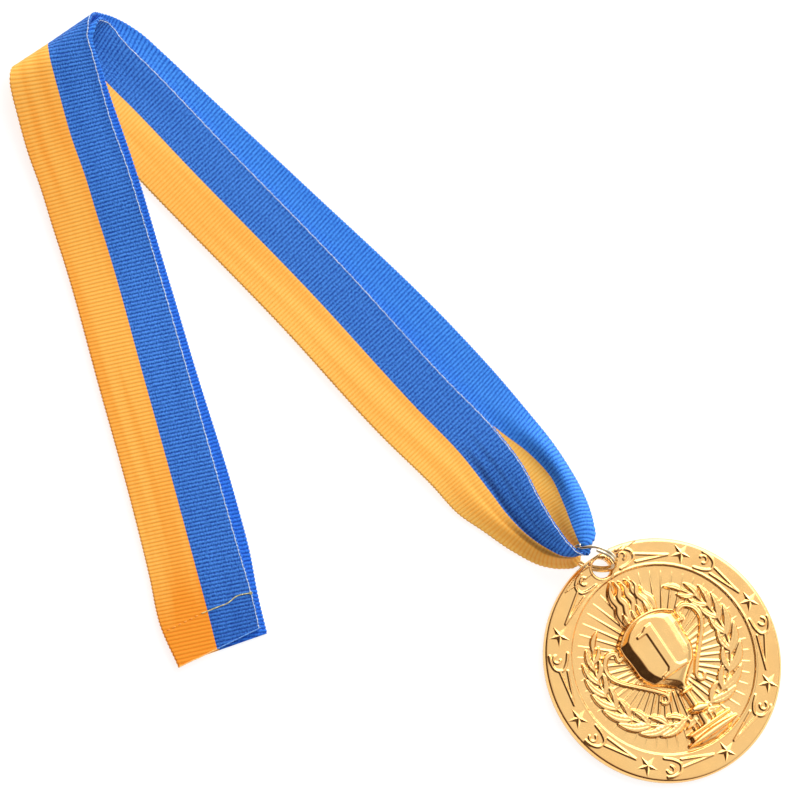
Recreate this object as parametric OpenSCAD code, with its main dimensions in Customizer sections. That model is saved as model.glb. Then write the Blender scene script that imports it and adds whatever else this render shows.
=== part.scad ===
// Sports medal lying on its two-colour ribbon, with the split ring that joins them.
// Millimetres, +Z up, resting on the plane z = 0.

/* [Medal] */
// Width of the medal across its edge
medal_d = 65; // [60:1:66]
// Thickness of the raised border
border_t = 2.3; // [2:0.1:2.6]
// Depth of the field inside the border
field_drop = 0.4; // [0.2:0.1:0.6]
// Inner radius of the raised border
border_r = 25.2; // [24:0.2:26]
// Diameter of the hole for the ring
hole_d = 5.2; // [5:0.1:5.6]
// Distance from the middle of the medal to the hole and to the stars
hole_r = 28.9; // [28.5:0.1:29.1]
// Radius of the shallow recess in the back
recess_r = 25; // [24:0.2:25.4]
// Depth of the recess in the back
recess_h = 0.3; // [0.2:0.1:0.4]
// Angle that the ring's wire lifts the hole side by
medal_lift = 1.3; // [1.2:0.1:1.6]

/* [Relief] */
// Height of the cup's flat front above the field
cup_h = 3.4; // [2:0.2:4]
// Outer radius of a star
star_r = 3; // [2.5:0.1:3.2]
// Height of a star's middle above the border
star_h = 0.8; // [0.4:0.1:1]
// Number of rays round the cup
rays = 48; // [24:4:60]
// Leaves on each side of a branch
leaves = 9; // [7:1:10]

/* [Split ring] */
// Radius of the ring to the middle of its wire
ring_r = 6.05; // [5.9:0.05:6.2]
// Thickness of the wire
wire_d = 0.9; // [0.8:0.1:0.9]
// Half of the angle between the two cut ends of the wire
cut_half = 22; // [18:1:26]

/* [Ribbon] */
// Width of the blue half
blue_w = 11.8; // [11:0.1:12]
// Width of the yellow half
yellow_w = 12.2; // [11.5:0.1:12.5]
// Thickness of the cloth
cloth_t = 1; // [0.8:0.1:1]
// Radius of the inner layer round the fold
inner_fold_r = 1.6; // [1.4:0.1:1.8]
// Radius of the outer layer round the fold
outer_fold_r = 3.2; // [3:0.1:3.4]

/* [Hidden] */
$fn = 64;

// The middle of the laid out object, which the origin lies under
middle = [-1.5, -28.3, 0];

// Where the medal lies and which way its top points
medal_at = [96.4, 6.7, 0];
medal_turn = 83;
medal_r = medal_d / 2;
field_z = border_t - field_drop;
sunk = 0.3;

// The ring stands on its edge, almost upright
ring_at = [64.5, 8.8, 6.51];
ring_turn = 30;
ring_lean = 9;
ring_along = [cos(ring_turn), sin(ring_turn), 0];
ring_normal = [sin(ring_turn) * cos(ring_lean), -cos(ring_turn) * cos(ring_lean), sin(ring_lean)];
ring_up = cross(ring_along, ring_normal) * -1;
ring_step = 15;
wire_sides = 6;
cut_start = 100;

// Small helpers for points, curves and sweeps
function polar(r, a) = [r * cos(a), r * sin(a)];
function unit(v) = v / norm(v);
function mix(a, b, t) = a * (1 - t) + b * t;
function smooth(t) = t * t * (3 - 2 * t);
function clamp(i, n) = min(max(i, 0), n - 1);
function gap(list, i) = let (n = len(list)) max(norm(list[clamp(i + 1, n)] - list[clamp(i, n)]), 0.01);

// A smooth curve through a list of points that keeps its shape where they are unevenly spaced
function heading(list, i) =
    let (n = len(list), k = clamp(i, n), before = gap(list, k - 1), after = gap(list, k))
    k == 0 ? (list[1] - list[0]) / after
    : k == n - 1 ? (list[k] - list[k - 1]) / before
    : ((list[k] - list[k - 1]) * after / before
       + (list[k + 1] - list[k]) * before / after) / (before + after);
function curve_at(list, i, t) =
    let (long = gap(list, i), s = t * t * (3 - 2 * t))
    mix(list[i], list[i + 1], s)
    + long * t * (1 - t) * ((1 - t) * heading(list, i) - t * heading(list, i + 1));
function refine(list, steps) =
    [for (i = [0:len(list) - 2], k = [0:steps - 1]) curve_at(list, i, k / steps), list[len(list) - 1]];
function turned(table) = [for (j = [0:len(table[0]) - 1]) [for (row = table) row[j]]];

// Outline of a line of a given half width that follows a list of points in the plane
function side_of(path, i) =
    let (n = len(path), d = unit(path[clamp(i + 1, n)] - path[clamp(i - 1, n)])) [-d[1], d[0]];
function stroke(path, half, half_end) =
    let (n = len(path), w = [for (i = [0:n - 1]) mix(half, half_end, i / (n - 1))])
    concat([for (i = [0:n - 1]) path[i] + w[i] * side_of(path, i)],
           [for (i = [n - 1:-1:0]) path[i] - w[i] * side_of(path, i)]);

module raised(z, height) translate([0, 0, z - sunk]) linear_extrude(height + sunk) children();

// The plain disc with its bevelled edge, raised border, hole and recessed back
module disc() {
    bevel = 0.5;
    countersink = 0.3;
    difference() {
        rotate_extrude($fn = 128)
            polygon([[0, recess_h], [recess_r, recess_h], [recess_r + recess_h, 0],
                     [medal_r - bevel, 0], [medal_r, bevel], [medal_r, border_t - bevel],
                     [medal_r - bevel, border_t], [border_r + field_drop, border_t],
                     [border_r, field_z], [0, field_z]]);
        translate([0, hole_r, -1]) cylinder(h = border_t + 2, d = hole_d);
        translate([0, hole_r, border_t - countersink]) cylinder(h = 1, r1 = hole_d / 2, r2 = hole_d / 2 + 1);
    }
}

// A five-pointed star whose ridges meet in the middle
module star() {
    inner = star_r * 0.4;
    rim = [for (i = [0:9]) polar(i % 2 == 0 ? star_r : inner, 90 + 36 * i)];
    low = [for (p = rim) [p[0], p[1], -sunk]];
    edge = [for (p = rim) [p[0], p[1], 0.1]];
    points = concat(low, edge, [[0, 0, -sunk], [0, 0, star_h]]);
    floors = [for (i = [0:9]) [20, i, (i + 1) % 10]];
    walls = [for (i = [0:9], k = [0, 1])
        let (j = (i + 1) % 10)
        k == 0 ? [i, i + 10, j + 10] : [i, j + 10, j]];
    slopes = [for (i = [0:9]) [21, (i + 1) % 10 + 10, i + 10]];
    polyhedron(points, concat(floors, walls, slopes));
}

module stars() {
    for (i = [1:7]) rotate(90 + 45 * i) translate([hole_r, 0, border_t]) rotate(-90 - 45 * i) star();
}

// The line ornament that fills the border between two stars, drawn down the right side
module border_lines(from) {
    hook = [for (a = [0:40:240]) polar(29.3, from - 12.5) + polar(1.0, from + 60 - a)];
    loop = refine([polar(31.2, from - 11), polar(31, from - 14), polar(29.8, from - 18),
                   polar(28, from - 18.5), polar(26.8, from - 15), polar(26.3, from - 9)], 3);
    dart = [polar(28.6, from - 19.5), polar(28, from - 38), polar(26.9, from - 19)];
    raised(border_t, 0.3) {
        polygon(stroke(hook, 0.3, 0.2));
        polygon(stroke(loop, 0.3, 0.3));
        polygon(stroke([dart[0], dart[1]], 0.25, 0.12));
        polygon(stroke([dart[2], mix(dart[2], dart[1], 0.93)], 0.25, 0.12));
    }
}

module border_ornament() {
    for (i = [0:3]) {
        border_lines(90 - 45 * i);
        mirror([1, 0, 0]) border_lines(90 - 45 * i);
    }
}

// Tapered rays that run out from behind the cup
module ray_field() {
    ray = [[10.5, -0.45], [23.5, -0.2], [23.5, 0.2], [10.5, 0.45]];
    raised(field_z, 0.2)
        for (i = [0:rays - 1]) rotate((i + 0.5) * 360 / rays) polygon(ray);
}

// One leaf, pointing along +X from its stalk
module leaf(long, half) {
    polygon([[0, 0], [long * 0.2, half * 0.7], [long * 0.45, half], [long * 0.75, half * 0.65], [long, 0],
             [long * 0.75, -half * 0.65], [long * 0.45, -half], [long * 0.2, -half * 0.7]]);
}

// The right branch of the wreath, with an outer and an inner row of leaves
module branch() {
    first = -70;
    step = 117 / leaves;
    for (i = [0:leaves - 1]) {
        a = first + step * i;
        raised(field_z, 0.7) translate(polar(18.2 + 0.14 * i, a)) rotate(a + 66) leaf(5.6, 1.1);
        raised(field_z, 0.6) translate(polar(17.2 + 0.1 * i, a + 5)) rotate(a + 118) leaf(5, 0.95);
    }
}

module wreath() {
    branch();
    mirror([1, 0, 0]) branch();
}

// Bowl, stem, knob and foot: a row for each height, with half width and share of the full relief
cup_rows = [[12.6, 1.5, 0.5], [11.9, 4.6, 0.7], [10.7, 7.2, 0.85], [9.0, 9.1, 0.95], [6.6, 9.3, 1],
            [3.7, 9.0, 1], [-0.2, 8.9, 1], [-2.1, 8.2, 1], [-4.0, 6.9, 0.95], [-5.9, 4.2, 0.8],
            [-7.9, 1.9, 0.6], [-9.1, 1.2, 0.5], [-9.5, 2.2, 0.52], [-10.3, 2.2, 0.52], [-10.7, 1.2, 0.45],
            [-14.4, 1.2, 0.45], [-14.8, 2.0, 0.5], [-15.8, 2.5, 0.55], [-16.9, 2.0, 0.5],
            [-17.4, 1.8, 0.45], [-18.8, 2.6, 0.48], [-20.2, 3.5, 0.5]];
// Shape across the cup: share of the half width and share of the height
cup_across = [[-1, -0.1], [-0.97, 0.45], [-0.88, 0.85], [-0.72, 1],
              [0.72, 1], [0.88, 0.85], [0.97, 0.45], [1, -0.1]];

module cup() {
    n = len(cup_rows);
    m = len(cup_across);
    points = [for (row = cup_rows, q = cup_across) [row[1] * q[0], row[0], cup_h * row[2] * q[1]]];
    skin = [for (i = [0:n - 2], j = [0:m - 1], k = [0, 1])
        let (a = i * m + j, b = i * m + (j + 1) % m)
        k == 0 ? [a, b, b + m] : [a, b + m, a + m]];
    ends = [[for (j = [m - 1:-1:0]) j], [for (j = [0:m - 1]) (n - 1) * m + j]];
    translate([0, 0, field_z]) polyhedron(points, concat(skin, ends));
}

module cup_base() {
    raised(field_z, 2) translate([-7, -21.3]) square([14, 1.5]);
    raised(field_z, 1.5) polygon([[-5.1, -21], [-8.7, -23.1], [-8.7, -23.7], [-7.5, -24.6],
                                 [7.5, -24.6], [8.7, -23.7], [8.7, -23.1], [5.1, -21]]);
}

module numeral() {
    translate([0, 0, field_z + cup_h - 0.2]) linear_extrude(0.5)
        polygon([[-1.4, -3.1], [-4.2, -3.3], [-4.2, -4.3], [4.2, -4.3], [4.2, -3.3], [1.4, -3.1],
                 [1.4, 10.1], [-0.6, 10.1], [-2.2, 9.2], [-4.3, 8.9], [-4.3, 8], [-1.4, 8]]);
}

// The left handle: a scroll beside the bowl that sweeps down to the stem
module handle() {
    path = refine([[-9.3, 5.6], [-11.3, 8.4], [-14, 8], [-15.4, 5], [-14.7, 2.6], [-12.8, 0.3],
                   [-9.7, -2.8], [-6.8, -5.9], [-5.3, -7.9], [-4.9, -9], [-5.7, -9.9], [-7.2, -9.4]], 2);
    raised(field_z, 1.1) polygon(stroke(path, 0.7, 0.5));
}

// Tongues of the flame: a row for each, with its foot, its length, its half width, its lean and its height
flame_rows = [[-1.6, 12.2, 9.5, 1.6, 100, 1.4], [0.6, 12.3, 12, 1.5, 84, 1.6],
              [2.4, 12.2, 9.5, 1.4, 68, 1.2], [-0.4, 12, 7, 1.6, 116, 1]];

module flame() {
    for (row = flame_rows)
        raised(field_z, row[5]) translate([row[0], row[1]]) rotate(row[4]) leaf(row[2], row[3]);
}

module medal() {
    color("gold") translate(medal_at - middle) rotate(medal_turn)
        translate([0, -medal_r, 0]) rotate([medal_lift, 0, 0]) translate([0, medal_r, 0]) {
            disc();
            stars();
            border_ornament();
            ray_field();
            wreath();
            cup();
            cup_base();
            numeral();
            handle();
            mirror([1, 0, 0]) handle();
            flame();
        }
}

// A place on the ring, by angle round it, distance from its middle and distance across it
function on_ring(angle, radius, across) =
    ring_at + radius * (cos(angle) * ring_along + sin(angle) * ring_up) + across * ring_normal;

// The wire runs once round the front coil, steps across between its cut ends and runs round the rear
wire_turn = 720 - 2 * cut_half;
coil_pitch = wire_d + 0.05;
function wire_across(a) = -coil_pitch * smooth(min(max((a - 360 + 2 * cut_half) / (2 * cut_half), 0), 1));

// A tube with flat ends, swept from one ring of points to the next
module tube(rings) {
    n = len(rings);
    m = len(rings[0]);
    skin = [for (i = [0:n - 2], j = [0:m - 1], k = [0, 1])
        let (a = i * m + j, b = i * m + (j + 1) % m)
        k == 0 ? [a, b, b + m] : [a, b + m, a + m]];
    first = [for (j = [0:m / 2 - 2]) [m - 1 - j, m - 2 - j, j + 1, j]];
    last = [for (f = first) [for (k = [3:-1:0]) (n - 1) * m + f[k]]];
    polyhedron([for (r = rings, p = r) p], concat(skin, first, last));
}

module split_ring() {
    steps = ceil(wire_turn / ring_step);
    rings = [for (i = [0:steps])
        let (a = i * wire_turn / steps)
        [for (j = [0:wire_sides - 1])
            let (b = 30 + j * 360 / wire_sides)
            on_ring(cut_start - a, ring_r + wire_d / 2 * cos(b), wire_across(a) + wire_d / 2 * sin(b))]];
    color("silver") translate(-middle) tube(rings);
}

// Sections of the ribbon. Each is five points across it: blue edge, middle of the blue half,
// the line where the colours meet, middle of the yellow half, yellow edge.
function straight(x, y, z, turn, skew, blue_rise, yellow_rise) =
    let (along = [cos(turn), sin(turn), 0], b = blue_w / cos(skew), w = yellow_w / cos(skew),
         blue = b * (cos(blue_rise) * along + [0, 0, sin(blue_rise)]),
         yellow = w * (-cos(yellow_rise) * along + [0, 0, sin(yellow_rise)]))
    [[x, y, z] + blue, [x, y, z] + blue / 2, [x, y, z], [x, y, z] + yellow / 2, [x, y, z] + yellow];

// Flat runs. Columns: x, y and z of the colour line, direction of the blue side, skew of the
// section, rise of the blue half and rise of the yellow half.
under_strand = [
    [18.7, -83.2, 0.55, 74, 11, 0, 0], [9.5, -76.2, 0.55, 67, 4, 0, 0],
    [-1.1, -69.7, 0.55, 63.5, 0, 0, 0], [-13.5, -63.2, 0.55, 63, 0, 0, 0],
    [-45, -48.4, 0.55, 64, 0, 0, 0], [-75.6, -33.8, 0.6, 64.5, 0, 1, 0],
    [-94, -25.6, 1.7, 66, 0, 7, -4], [-104, -21.4, 2.4, 68, 3, 5, -5],
    [-113, -17.8, 3.1, 72, 7, 3, -4], [-120.5, -14.7, 4.3, 77, 11, 4, -4]
];
over_diagonal = [
    [-118.5, -4.8, 1.75, 88, 8, 5, 0], [-107.8, -3.7, 1.75, 90.5, 3, 1, 0],
    [-80.2, -2.3, 1.75, 92.5, 0, 0, 0], [-36.2, 0.2, 1.75, 92.5, 0, 0, 0],
    [4.7, 1.2, 1.75, 92, 0, 0, 0], [22, 2.1, 1.85, 91, 0, 2, 0]
];
under_diagonal = [
    [13, 12.9, 0.55, 92.5, 0, 0, 0], [-3.4, 12.5, 0.55, 94.5, 0, 0, 0],
    [-59.3, 7.2, 0.55, 95.5, 0, 0, 0], [-98, 2.9, 0.55, 96, 0, 0, 0],
    [-108, 1.6, 0.55, 95, 1, 0.5, 0], [-117.5, -0.8, 0.55, 92, 6, 3, 0]
];
over_strand = [
    [-124, -14.8, 6.6, 78, 12, 4, -4], [-118.2, -17.4, 5.4, 74, 9, 3, -4],
    [-108, -22.1, 4.1, 69, 4, 3, -4], [-97.8, -26.2, 3.6, 66, 1, 4, -4],
    [-88, -30.6, 2.9, 65, 0, 5, -3], [-79.5, -34.3, 2.2, 64.5, 0, 2.5, -1],
    [-48.2, -50.1, 1.8, 63, 0, 0, 0], [-18.4, -65.4, 1.8, 62.5, 0, 0, 0],
    [-2.5, -73.7, 1.8, 63.5, 0, 0, 0], [8, -79.1, 1.8, 67, 4, 0, 0],
    [17.3, -83.9, 1.8, 74, 11, 0, 0]
];

// Half a turn round the fold, from the top of the bend to its foot
function bend(radius, x, z, y_top, y_foot, turn_top, turn_foot, rise) =
    [for (a = [0:30:180])
        let (t = a / 180)
        straight(x - radius * sin(a), mix(y_top, y_foot, t), z + radius * cos(a), mix(turn_top, turn_foot, t),
                 13, mix(rise, rise + 3, t) + 5 * sin(a), mix(-4, 0, t))];
inner_fold = bend(inner_fold_r, -125.7, 3.5, -12.2, -7.4, 80, 85, 5);
outer_fold = bend(outer_fold_r, -126.8, 3.8, -13.4, -5.8, 81, 86, 5);

// Gathered sections beside the ring, five points in each row
gather_in = [[[34.2, 12.6, 4.2], [33.9, 7, 3.2], [33.7, 1.6, 2.6], [33.4, -4.4, 1.9], [33, -10, 0.9]],
             [[42.9, 9.5, 6.2], [41.9, 5.1, 4.8], [41, 0.9, 3.8], [40.4, -3.6, 2.1], [40, -7.9, 0.7]],
             [[52.2, 6.8, 8.2], [50.6, 4, 6.8], [49, 1.1, 5.6], [49, -2.2, 2.6], [49.2, -5.2, 0.9]],
             [[57.6, 5.8, 9.8], [56.4, 4.2, 8.8], [55.2, 2.4, 7.5], [56, 0.2, 4], [57.4, -1.3, 1.3]],
             [[60.6, 5.9, 10.9], [59.5, 4.8, 10], [58.2, 3.6, 8.6], [59, 2.8, 4.6], [60.8, 2.6, 1.3]]];
gather_out = [[[60.5, 12.2, 9.6], [59.2, 10.6, 9.2], [57.7, 9, 8.1], [57.9, 8.3, 4.4], [60.4, 9.4, 1.3]],
              [[57.6, 15, 7.6], [56.4, 12.4, 8.4], [55.2, 10.2, 7.2], [55.4, 9.2, 3.6], [57, 10.2, 1.1]],
              [[50.6, 19.4, 4.2], [49.4, 15.4, 6.4], [48.6, 13.4, 4.2], [47.8, 10.4, 1.6], [48, 6.9, 0.8]],
              [[43, 22.2, 1.6], [41.8, 18, 4.6], [41.2, 16, 1.9], [40.6, 11, 0.8], [40.4, 6, 0.6]],
              [[35, 23.6, 1], [33.8, 19.6, 3.4], [33.2, 16, 0.9], [32.8, 10.2, 0.6], [32.6, 4.6, 0.6]],
              [[24.6, 24.3, 0.7], [24, 19.2, 1.6], [23.6, 14.2, 0.6], [23.2, 8.2, 0.55], [23, 2.4, 0.55]]];

// Where the five lines of the ribbon pass through the ring, as angles round it
ring_fan = [118, 137, 156, 196, 236];
// Sections round the wire. Columns: distance across the ring and distance from its middle.
ring_rows = [[1.05, 5.15], [-0.5, 4.75], [-2, 5.15]];
ring_pass = [for (row = ring_rows) [for (a = ring_fan) on_ring(a, row[1], row[0])]];

function laid(table) = [for (r = table) straight(r[0], r[1], r[2], r[3], r[4], r[5], r[6])];
function reversed(list) = [for (i = [len(list) - 1:-1:0]) list[i]];

sections = concat(laid(under_strand), inner_fold, laid(over_diagonal), gather_in, ring_pass, gather_out,
                  laid(under_diagonal), reversed(outer_fold), laid(over_strand));
along_steps = 3;
across_steps = 2;
function above_floor(p) = [p[0], p[1], max(p[2], cloth_t / 2)];

module ribbon() {
    lines = [for (line = turned(sections)) refine(line, along_steps)];
    mid = [for (section = turned(lines)) [for (p = refine(section, across_steps)) above_floor(p)]];
    n = len(mid);
    m = len(mid[0]);
    normals = [for (i = [0:n - 1]) [for (j = [0:m - 1])
        unit(cross(mid[clamp(i + 1, n)][j] - mid[clamp(i - 1, n)][j],
                   mid[i][clamp(j + 1, m)] - mid[i][clamp(j - 1, m)]))]];
    rings = [for (i = [0:n - 1]) concat(
        [for (j = [0:m - 1]) mid[i][j] + normals[i][j] * cloth_t / 2],
        [for (j = [m - 1:-1:0]) mid[i][j] - normals[i][j] * cloth_t / 2])];
    color("royalblue") translate(-middle) tube(rings);
}

medal();
split_ring();
ribbon();
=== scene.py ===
"""Sports medal on its two-colour ribbon: the looks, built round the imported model."""

import math

import bmesh
import bpy
import numpy as np
from mathutils import Matrix, Vector


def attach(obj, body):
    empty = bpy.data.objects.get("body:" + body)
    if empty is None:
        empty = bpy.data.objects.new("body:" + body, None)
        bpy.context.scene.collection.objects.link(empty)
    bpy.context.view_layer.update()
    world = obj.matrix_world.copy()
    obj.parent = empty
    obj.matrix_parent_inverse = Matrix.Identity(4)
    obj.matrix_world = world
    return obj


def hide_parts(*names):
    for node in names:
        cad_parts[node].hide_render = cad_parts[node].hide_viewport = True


MM = 0.001

# Photo view
CAMERA_AT = 2.4
CAMERA_RISE = 70
CAMERA_ROLL = 48.85
PHOTO_WIDTH = 0.20912

# Layout of the whole object, in millimetres
MIDDLE = np.array([-1.5, -28.3, 0])
MEDAL_AT = np.array([96.4, 6.7, 0])
MEDAL_TURN = 83
MEDAL_LIFT = 1.3
MEDAL_R = 32.5
MEDAL_CELL = 0.19
RIM_ROUND = 1.1
BORDER_T = 2.3
BORDER_R = 25.2
FIELD_DROP = 0.4
FIELD_Z = BORDER_T - FIELD_DROP
HOLE_D = 5.2
HOLE_R = 28.9
RECESS_R = 25
RECESS_H = 0.3
STAR_R = 3
STAR_H = 0.66
STAR_WAIST = 0.38
CUP_H = 3.4
RAYS = 48
RAY_H = 0.32
LEAF_H = 0.75
LINE_H = 0.42
HOLE_LIP = 0.25
SKIRT_H = 0.9
NUMERAL_H = 0.5
CUP_RIM_H = 0.9
CUP_RIM_BASE = 2.5
HANDLE_H = 0.9
HANDLE_WIDTHS = [0.55, 0.8, 0.75, 0.6, 0.5]
# Walls of the medal below its top edges. Columns: radius and height.
RIM_WALL = [[MEDAL_R, BORDER_T - RIM_ROUND], [MEDAL_R, 0.4], [MEDAL_R - 0.15, 0.1], [MEDAL_R - 0.5, 0]]
HOLE_WALL = [[HOLE_D / 2, 0.3], [HOLE_D / 2 + 0.15, 0]]
RECESS_SIDES = 120

# Cup. Columns: height along it, half width and share of the full relief.
CUP_ROWS = [
    [12.6, 1.5, 0.85], [11.9, 4.6, 0.97], [10.7, 7.2, 1], [9.0, 9.1, 1], [6.6, 9.3, 1],
    [3.7, 9.0, 1], [-0.2, 8.9, 1], [-2.1, 8.2, 1], [-4.0, 6.9, 0.95], [-5.9, 4.2, 0.8],
    [-7.9, 1.9, 0.6], [-9.1, 1.2, 0.5],
]
# Bars of the stem and foot: path, height and half widths along it
FOOT_BARS = [
    [[[0, -8.5], [0, -20]], 1.4, [1.2, 1.1, 1.2, 1.5]],
    [[[-1.3, -9.9], [1.5, -9.9]], 1.9, [0.6, 0.7, 0.6]],
    [[[-1.6, -15.2], [0, -15.6], [2, -16.2]], 2.6, [1, 1.5, 1.5, 1]],
    [[[-3.6, -16.8], [-3.5, -19.2]], 0.6, [0.6, 0.6]],
    [[[3.6, -16.8], [3.5, -19.2]], 0.6, [0.6, 0.6]],
    [[[-2.2, -17.6], [-2.1, -19.4]], 0.8, [0.6, 0.6]],
    [[[2.2, -17.6], [2.1, -19.4]], 0.8, [0.6, 0.6]],
    [[[-6.2, -20.4], [6.9, -20.4]], 1.7, [0.55, 0.75, 0.75, 0.55]],
    [[[-7.7, -22.6], [7.9, -22.6]], 1.9, [0.35, 1, 1.15, 1, 0.35]],
]
# Sides of the cup: distance in from its outline and share of the height
CUP_LEFT = [[0, 0.2], [0.25, 0.5], [2.5, 0.96], [2.9, 1]]
CUP_RIGHT = [[0, 0.15], [0.3, 0.5], [1.3, 0.84], [2.4, 0.95], [4, 1]]
CUP_RIM = [[-8.8, 9.4], [-6.2, 11.2], [-3, 12.4], [0, 12.7], [3, 12.4], [6.2, 11.2], [8.8, 9.4]]
NUMERAL = [
    [-1.4, -2.2], [-2, -2.9], [-4.2, -3.3], [-4.2, -4.3], [4.2, -4.3], [4.2, -3.3], [2, -2.9], [1.4, -2.2],
    [1.4, 10.1], [-0.6, 10.1], [-2.2, 9.2], [-4.3, 8.9], [-4.3, 8], [-1.4, 8],
]
# Lowest step under the cup
SKIRT = [[-7.6, -23.2], [-4.6, -24.6], [0, -25.2], [4.6, -24.6], [7.8, -23], [6.8, -20.3], [-6.1, -20.3]]
HANDLE = [
    [-8.6, 5], [-9.2, 6.4], [-10.6, 6.2], [-10.4, 8.4], [-12.6, 9], [-15, 6.8], [-15.2, 4], [-13.9, 1.6],
    [-11.6, -0.9], [-8.7, -3.8], [-6.2, -6.5], [-5, -8.3], [-5.2, -9.5], [-6.4, -9.8], [-7.2, -9],
]
# Branch of the wreath: angle and radius of its stem
STEM = [[-95, 15.2], [-85, 15.8], [-70, 17], [-50, 17.8], [-20, 18.7], [10, 19.1], [40, 19.4], [52, 19.2]]
# Leaves. Columns: angle and radius of the tip, angle that the leaf spans and half width.
OUTER_TIPS = [
    [-72, 19.4, 22, 1.2], [-51, 20.8, 25, 1.35], [-35, 21.4, 25, 1.4], [-18, 22, 25, 1.4],
    [-4, 22.2, 23, 1.35], [9, 22.5, 21, 1.3], [20, 22.6, 19, 1.2], [30, 22.5, 18, 1.1],
    [40, 21.4, 17, 1], [56, 19.4, 18, 0.9],
]
INNER_TIPS = [
    [-53, 15.6, 22, 1], [-37, 16.2, 22, 1.1], [-20, 16.6, 22, 1.1], [-4, 16.9, 21, 1.1], [9, 17.2, 20, 1.05],
    [22, 17.5, 19, 1], [33, 17.8, 17, 0.95], [44, 18, 15, 0.85],
]
# Tongues of the flame: path from foot to tip, half width and height
TONGUES = [
    [[[-3.7, 13.2], [-3.3, 16], [-2.2, 18], [-2.6, 20.5], [-2, 22.6], [-0.6, 24.6]], 1.4, 1.2],
    [[[-2, 12.9], [-1.5, 15.4], [-0.6, 17.6], [-1, 19.8], [0.3, 21.8], [0.2, 24.2]], 1.4, 1.7],
    [[[0, 12.8], [0.5, 15], [1.9, 17.2], [1.5, 19.5], [2, 21.6], [1.6, 23.4]], 1.4, 1.4],
    [[[2, 12.8], [2.4, 15], [3.4, 17.6], [3.2, 19.8], [3.7, 21.4], [3.2, 23]], 1.3, 1.7],
    [[[4.5, 12.9], [4.3, 15.4], [3.6, 18.2], [4.6, 20.4], [4.4, 22]], 1.3, 2],
    [[[5.9, 12.6], [6.3, 15], [5.5, 17.2], [5.9, 19.4]], 1.1, 1.1],
]
# Thick feet of the tongues, in the same way
TONGUE_FEET = [
    [[[-3.2, 12.9], [-3.1, 14], [-2.9, 15.6]], 0.8, 2.3],
    [[[-0.7, 12.9], [-0.6, 14], [-0.4, 15.4]], 0.75, 2.3],
    [[[1.2, 12.9], [1.3, 14], [1.6, 15.8]], 0.75, 2.3],
    [[[3.5, 12.9], [3.6, 14], [3.7, 15.4]], 0.8, 2.4],
]
# Lines on the border beside each of its places, as radius and angle from the place: the middle of the
# hook, the loop round it and the dart that runs on from it
HOOK_AT = [29.3, -12.5]
HOOK_R = 1.0
LOOP = [[31.2, -11], [31, -14], [29.8, -18], [28, -18.5], [26.8, -15], [26.3, -9]]
DART = [[28.8, -19.5], [28, -38], [26.7, -19]]

# Split ring
RING_AT = np.array([64.5, 8.8, 6.58])
RING_TURN = 30
RING_LEAN = 9
RING_R = 6.05
WIRE_D = 0.9
CUT_HALF = 22
CUT_START = 100

# Ribbon. The hem is the strip beside each edge, the edge wave is how far the ribs move the edge, and the
# sewn end is how far along the cloth its upper end lies.
BLUE_W = 11.8
YELLOW_W = 12.2
CLOTH_T = 0.8
RIB = 1.0
RIB_H = 0.07
ROWS_PER_RIB = 4
ACROSS_STEPS = 3
HEM = 0.35
EDGE_WAVE = 0.2
LOWEST_MIDDLE = 0.5
SEWN_END = 735
# Looks of the cloth: dark tone, painted shade in the rib valleys, and light tone, painted light on the rib
# crests; then the tint that it drifts to, painted shade along the strand and near the sewn end and random
# streaks of its own tone, where along the cloth this drift begins and is complete and its share, then
# strength of the flecks and of the fine relief
CLOTH_LOOKS = {
    "blue_outside": [(0.006, 0.06, 0.38), (0.06, 0.26, 0.79), (0.5, 0.65, 0.75), (0, 1, 0), 2.4, 0.8],
    # The inside is a lighter copy of the same blue, as painted light; its drift darkens the first 145 mm of
    # the cloth again, as painted shade
    "blue_inside_painted_lighter": [(0.008, 0.1, 0.55), (0.066, 0.33, 0.95), (0.4, 0.62, 0.87), (165, 145, 1), 2, 0.8],
    "yellow": [(0.96, 0.43, 0.055), (1, 0.59, 0.135), (0.9, 0.55, 0.16), (560, 590, 0.35), 0.7, 0.4],
}
# Pleats. Columns: distance from the colour line, width and depth.
PLEATS = [[1.97, 1.2, 2.4], [5.9, 1.4, 1.1], [-2.03, 1, 1]]
# Painted shade in the creases of the pleats, where shade falls. Columns: where along the cloth it begins,
# is full, fades and ends, then its middle and half width across the cloth, and its share.
PAINTED_CREASE_SHADES = [
    [312, 326, 346, 354, 1.9, 1.8, 0.85], [310, 324, 346, 352, 5.6, 1.4, 0.5],
    [336, 346, 358, 362, -1.3, 1.8, 0.85],
]
# Colour that the painted crease shade multiplies the cloth by
PAINTED_SHADE_TINT = (0.3, 0.3, 0.35)
# By x in the layout, where the pleats begin and are full, then where they are gone and begin to fade
PLEATS_IN = [20, 42]
PLEATS_OUT = [59, 54]

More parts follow.
